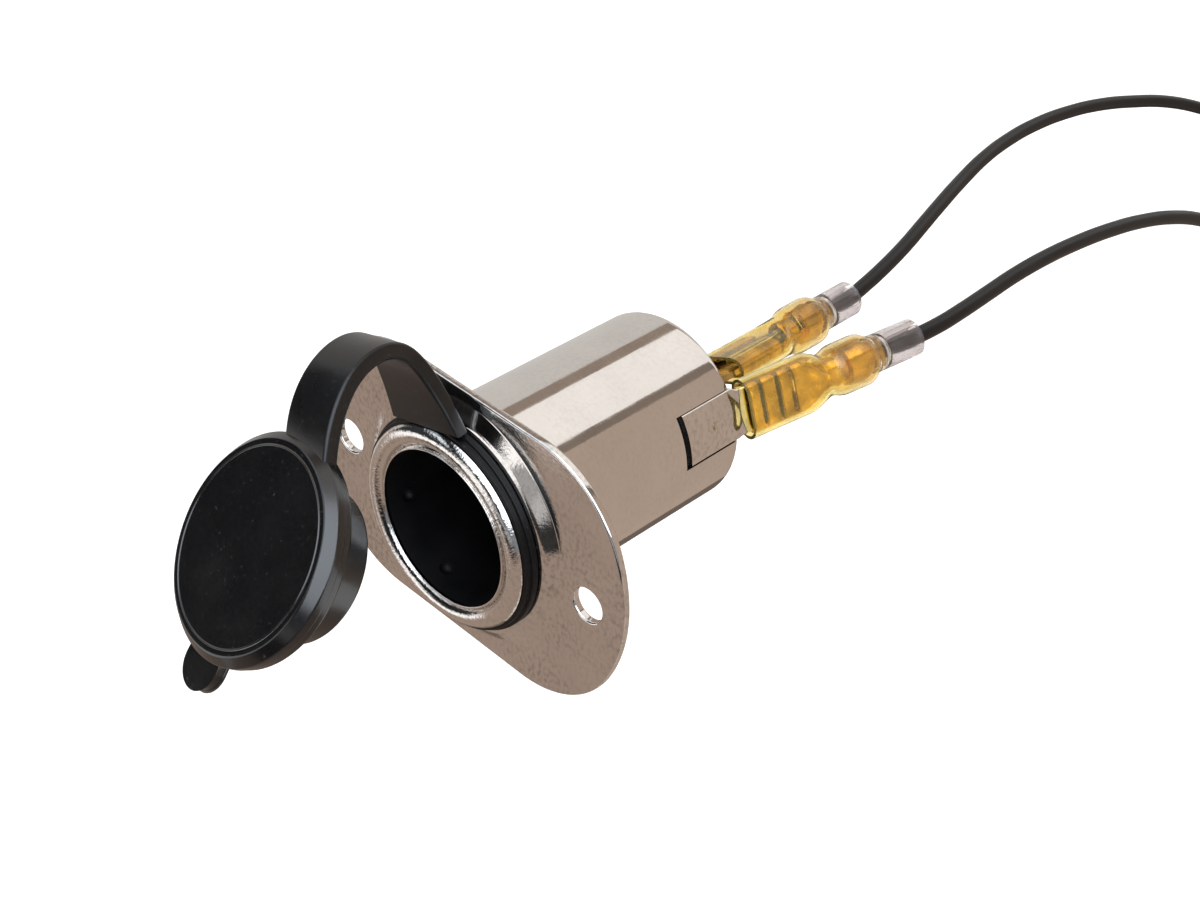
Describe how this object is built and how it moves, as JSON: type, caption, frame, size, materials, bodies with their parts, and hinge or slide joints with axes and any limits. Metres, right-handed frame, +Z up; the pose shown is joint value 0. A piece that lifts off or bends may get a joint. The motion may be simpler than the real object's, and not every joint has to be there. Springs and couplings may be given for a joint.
{
  "type": "12 volt power socket",
  "caption": "Flush-mounted 12 volt power socket: a chromed barrel on an oblong flange, with a captive rubber cap and two fly leads on push-on terminals.",
  "frame": {"origin": "on the barrel's axis, in the plane of the flange's back face, midway between the two screw holes", "axes": "+Y back along the barrel, into the panel; +X along the flange's long side; +Z up"},
  "size_m": [0.0542, 0.2578, 0.0819],
  "materials": {
    "chrome_steel": "bright chrome plate, faintly brushed",
    "black_moulding": "moulded, satin",
    "contact_brass": "stamped, bright",
    "tinned_steel": "tin plated",
    "black_rubber": "moulded, satin gloss",
    "terminal_brass": "stamped and rolled, bright",
    "amber_nylon": "translucent moulded nylon",
    "wire_insulation": "satin extruded insulation",
    "tinned_strands": "twisted tinned strands"
  },
  "bodies": {
    "socket": {"flange_plate": "chrome_steel", "barrel": "chrome_steel", "liner": "black_moulding", "ground_contact": "contact_brass", "ground_blade": "chrome_steel", "centre_contact": "contact_brass", "centre_rivet": "tinned_steel", "lock_washer": "tinned_steel", "centre_blade": "contact_brass", "rear_insulator": "black_moulding", "ground_terminal": "terminal_brass", "ground_sleeve": "amber_nylon", "positive_terminal": "terminal_brass", "positive_sleeve": "amber_nylon", "ground_lead": "wire_insulation", "ground_lead_end": "tinned_strands", "positive_lead": "wire_insulation", "positive_lead_end": "tinned_strands"},
    "ring": {"cap_ring": "black_rubber", "cap_strap": "black_rubber"},
    "cap": {"cap": "black_rubber", "cap_plug": "black_rubber"}
  },
  "joints": [
    {"name": "ring_swivel", "type": "hinge", "parent": "socket", "child": "ring", "pos_m": [0, -0.0032, 0], "axis": [0, 1, 0], "continuous": true},
    {"name": "cap_hinge", "type": "hinge", "parent": "ring", "child": "cap", "pos_m": [-0.01095, -0.0051, 0.03472], "axis": [-0.9537, 0, -0.3007], "range_deg": [-39.5, 40], "stiffness_Nm_per_rad": 0.03, "deforming": ["cap_strap"]}
  ]
}
